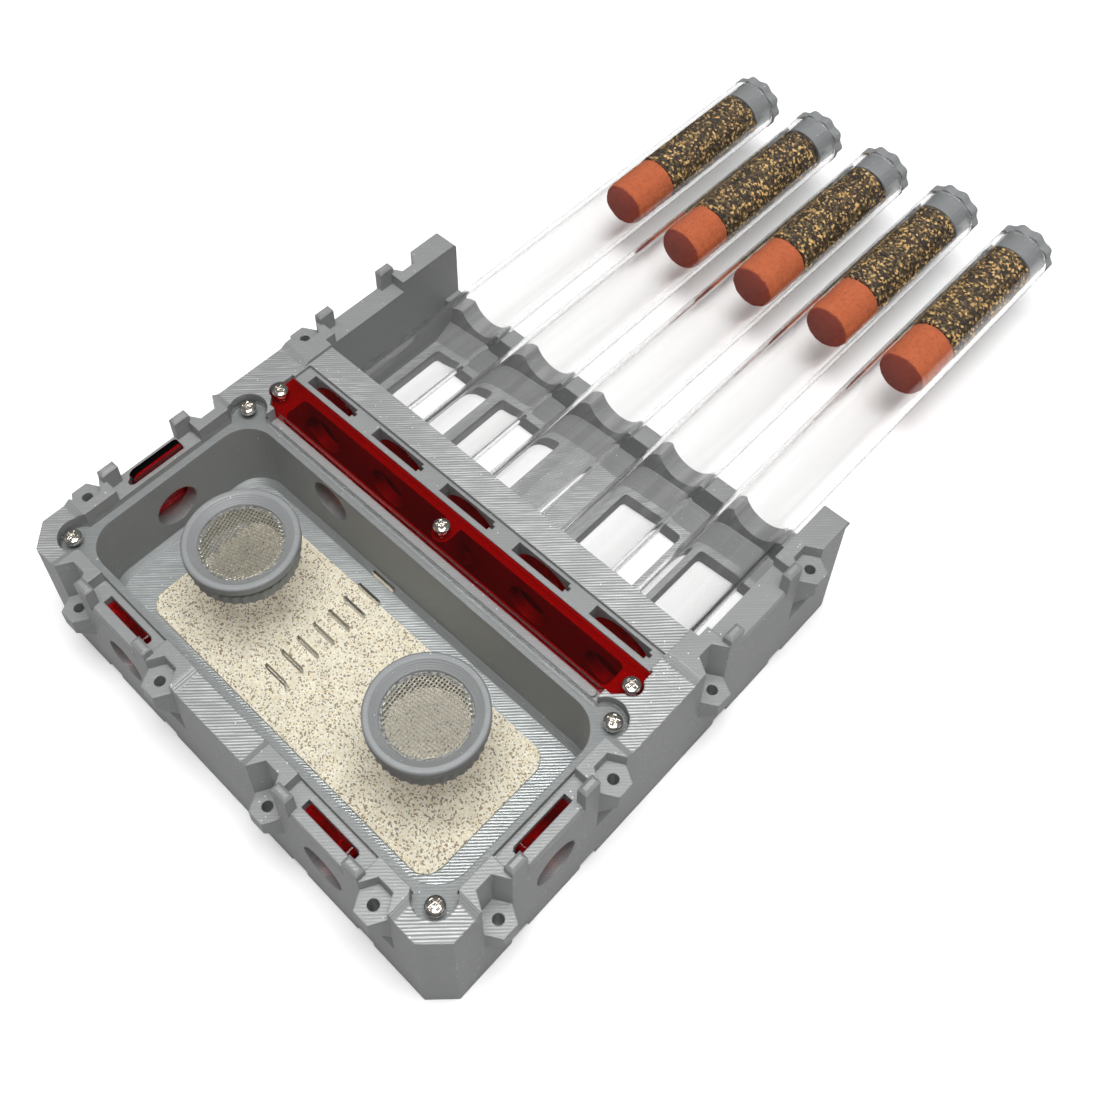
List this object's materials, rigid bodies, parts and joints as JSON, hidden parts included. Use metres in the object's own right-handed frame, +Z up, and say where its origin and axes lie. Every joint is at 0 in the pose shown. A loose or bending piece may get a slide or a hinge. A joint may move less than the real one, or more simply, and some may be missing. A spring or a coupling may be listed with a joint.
{
  "type": "ant habitat",
  "caption": "Printed ant habitat: a lidded arena with vents, a covered corridor and a rack of slide-out glass tubes with stoppers; hexagonal lugs join neighbours.",
  "frame": {"origin": "middle of the bounding box at the base", "axes": "+X right and +Y from the arena towards the tubes, +Z up"},
  "size_m": [0.1368, 0.2458, 0.0377],
  "materials": {
    "print": "silver-grey layered print",
    "print_light": "smoother silver-grey print",
    "sand": "bonded coarse sand",
    "clear_acrylic": "clear polished sheet",
    "red_acrylic": "dark translucent red sheet",
    "screw": "nickel-plated",
    "mesh": "fine woven wire",
    "glass": "clear",
    "sponge": "open-cell cellulose",
    "substrate": "loose grains"
  },
  "bodies": {
    "housing": {"housing_front_wall": "print", "housing_arena": "print", "housing_middle_wall": "print", "housing_corridor": "print", "housing_gate_wall": "print", "housing_socket_wall": "print", "rack_side_left": "print", "rack_side_right": "print", "rack_floor": "print", "rack_cradle": "print", "sand_floor": "sand"},
    "lid": {"arena_lid": "clear_acrylic", "lid_screws": "screw"},
    "cover": {"corridor_cover": "red_acrylic", "cover_screws": "screw"},
    "vent_left": {"vent_ring_left": "print_light", "vent_mesh_left": "mesh"},
    "nut_left": {"vent_nut_left": "print_light"},
    "vent_right": {"vent_ring_right": "print_light", "vent_mesh_right": "mesh"},
    "nut_right": {"vent_nut_right": "print_light"},
    "gate_front_left": {"port_gate_front_left": "red_acrylic"},
    "gate_front_right": {"port_gate_front_right": "red_acrylic"},
    "gate_right": {"port_gate_right": "red_acrylic"},
    "gate_left": {"port_gate_left": "red_acrylic"},
    "hub_gate_1": {"hub_gate_1": "red_acrylic"},
    "hub_gate_2": {"hub_gate_2": "red_acrylic"},
    "hub_gate_3": {"hub_gate_3": "red_acrylic"},
    "hub_gate_4": {"hub_gate_4": "red_acrylic"},
    "hub_gate_5": {"hub_gate_5": "red_acrylic"},
    "tube_1": {"tube_1": "glass", "sponge_1": "sponge", "substrate_1": "substrate"},
    "stopper_1": {"stopper_1": "print_light"},
    "tube_2": {"tube_2": "glass", "sponge_2": "sponge", "substrate_2": "substrate"},
    "stopper_2": {"stopper_2": "print_light"},
    "tube_3": {"tube_3": "glass", "sponge_3": "sponge", "substrate_3": "substrate"},
    "stopper_3": {"stopper_3": "print_light"},
    "tube_4": {"tube_4": "glass", "sponge_4": "sponge", "substrate_4": "substrate"},
    "stopper_4": {"stopper_4": "print_light"},
    "tube_5": {"tube_5": "glass", "sponge_5": "sponge", "substrate_5": "substrate"},
    "stopper_5": {"stopper_5": "print_light"}
  },
  "joints": [
    {"name": "lid_lift", "type": "slide", "parent": "housing", "child": "lid", "axis": [0, 0, 1], "range_m": [0, 0.02]},
    {"name": "cover_lift", "type": "slide", "parent": "housing", "child": "cover", "axis": [0, 0, 1], "range_m": [0, 0.02]},
    {"name": "vent_turn_left", "type": "hinge", "parent": "lid", "child": "vent_left", "pos_m": [-0.0294, -0.08701, 0.0322], "axis": [0, 0, 1], "range_deg": [0, 360]},
    {"name": "nut_run_left", "type": "slide", "parent": "lid", "child": "nut_left", "axis": [0, 0, -1], "range_m": [0, 0.0016]},
    {"name": "vent_turn_right", "type": "hinge", "parent": "lid", "child": "vent_right", "pos_m": [0.0294, -0.08701, 0.0322], "axis": [0, 0, 1], "range_deg": [0, 360]},
    {"name": "nut_run_right", "type": "slide", "parent": "lid", "child": "nut_right", "axis": [0, 0, -1], "range_m": [0, 0.0016]},
    {"name": "gate_lift_front_left", "type": "slide", "parent": "housing", "child": "gate_front_left", "axis": [0, 0, 1], "range_m": [0, 0.0125]},
    {"name": "gate_lift_front_right", "type": "slide", "parent": "housing", "child": "gate_front_right", "axis": [0, 0, 1], "range_m": [0, 0.0125]},
    {"name": "gate_lift_right", "type": "slide", "parent": "housing", "child": "gate_right", "axis": [0, 0, 1], "range_m": [0, 0.0125]},
    {"name": "gate_lift_left", "type": "slide", "parent": "housing", "child": "gate_left", "axis": [0, 0, 1], "range_m": [-0.0033, 0.0092]},
    {"name": "hub_gate_lift_1", "type": "slide", "parent": "housing", "child": "hub_gate_1", "axis": [0, 0, 1], "range_m": [0, 0.0145]},
    {"name": "hub_gate_lift_2", "type": "slide", "parent": "housing", "child": "hub_gate_2", "axis": [0, 0, 1], "range_m": [0, 0.0145]},
    {"name": "hub_gate_lift_3", "type": "slide", "parent": "housing", "child": "hub_gate_3", "axis": [0, 0, 1], "range_m": [0, 0.0145]},
    {"name": "hub_gate_lift_4", "type": "slide", "parent": "housing", "child": "hub_gate_4", "axis": [0, 0, 1], "range_m": [0, 0.0145]},
    {"name": "hub_gate_lift_5", "type": "slide", "parent": "housing", "child": "hub_gate_5", "axis": [0, 0, 1], "range_m": [0, 0.0145]},
    {"name": "tube_slide_1", "type": "slide", "parent": "housing", "child": "tube_1", "axis": [0, 1, 0], "range_m": [0, 0.052]},
    {"name": "stopper_pull_1", "type": "slide", "parent": "tube_1", "child": "stopper_1", "axis": [0, 1, 0], "range_m": [0, 0.01]},
    {"name": "tube_slide_2", "type": "slide", "parent": "housing", "child": "tube_2", "axis": [0, 1, 0], "range_m": [0, 0.052]},
    {"name": "stopper_pull_2", "type": "slide", "parent": "tube_2", "child": "stopper_2", "axis": [0, 1, 0], "range_m": [0, 0.01]},
    {"name": "tube_slide_3", "type": "slide", "parent": "housing", "child": "tube_3", "axis": [0, 1, 0], "range_m": [0, 0.052]},
    {"name": "stopper_pull_3", "type": "slide", "parent": "tube_3", "child": "stopper_3", "axis": [0, 1, 0], "range_m": [0, 0.01]},
    {"name": "tube_slide_4", "type": "slide", "parent": "housing", "child": "tube_4", "axis": [0, 1, 0], "range_m": [0, 0.052]},
    {"name": "stopper_pull_4", "type": "slide", "parent": "tube_4", "child": "stopper_4", "axis": [0, 1, 0], "range_m": [0, 0.01]},
    {"name": "tube_slide_5", "type": "slide", "parent": "housing", "child": "tube_5", "axis": [0, 1, 0], "range_m": [0, 0.052]},
    {"name": "stopper_pull_5", "type": "slide", "parent": "tube_5", "child": "stopper_5", "axis": [0, 1, 0], "range_m": [0, 0.01]}
  ],
  "couplings": [
    {"joint": "nut_run_left", "follows": "vent_turn_left", "m_per_rad": 0.00023873},
    {"joint": "nut_run_right", "follows": "vent_turn_right", "m_per_rad": 0.00023873}
  ]
}
